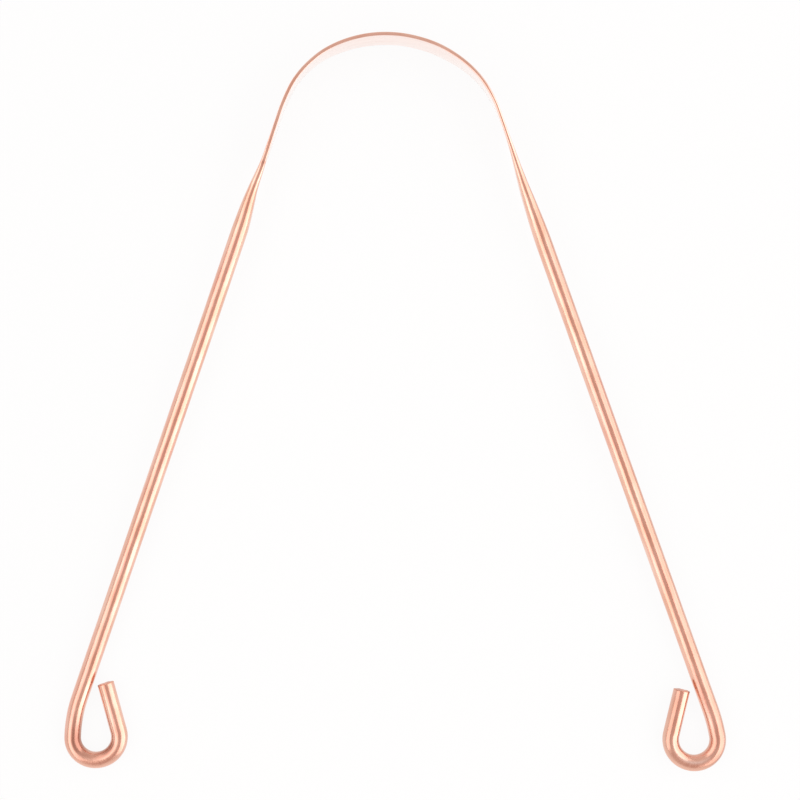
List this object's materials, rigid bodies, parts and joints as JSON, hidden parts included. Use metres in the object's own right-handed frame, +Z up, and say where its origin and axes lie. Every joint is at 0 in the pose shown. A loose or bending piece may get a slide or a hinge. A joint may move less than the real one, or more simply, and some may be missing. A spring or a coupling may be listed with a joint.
{
  "type": "tongue scraper",
  "caption": "Tongue scraper of one copper wire: a thin flat blade bent into a round arch, tapered necks and splayed round arms that end in open loops.",
  "frame": {"origin": "centre of the outer box, level with the blade's lower edge", "axes": "+Y towards the crown of the arch, +X towards the right arm as pictured, +Z up through the arch, along the blade's width"},
  "size_m": [0.1258, 0.1396, 0.0095],
  "materials": {
    "rolled_copper": "bare copper, rolled flat and polished bright",
    "drawn_copper": "bare copper wire, drawn and polished bright"
  },
  "bodies": {
    "blade": {"scraping_blade": "rolled_copper"},
    "left_side": {"left_neck": "rolled_copper", "left_arm": "drawn_copper", "left_lead_in": "drawn_copper", "left_loop": "drawn_copper", "left_tip": "drawn_copper"},
    "right_side": {"right_neck": "rolled_copper", "right_arm": "drawn_copper", "right_lead_in": "drawn_copper", "right_loop": "drawn_copper", "right_tip": "drawn_copper"}
  },
  "joints": [
    {"name": "left_arm_flex", "type": "hinge", "parent": "blade", "child": "left_side", "pos_m": [-0.01328, 0.06426, 0.00475], "axis": [0, 0, 1], "range_deg": [-9, 9], "stiffness_Nm_per_rad": 1.16, "deforming": ["scraping_blade"]},
    {"name": "right_arm_flex", "type": "hinge", "parent": "blade", "child": "right_side", "pos_m": [0.01064, 0.06437, 0.00475], "axis": [0, 0, 1], "range_deg": [-9, 9], "stiffness_Nm_per_rad": 1.17, "deforming": ["scraping_blade"]}
  ]
}
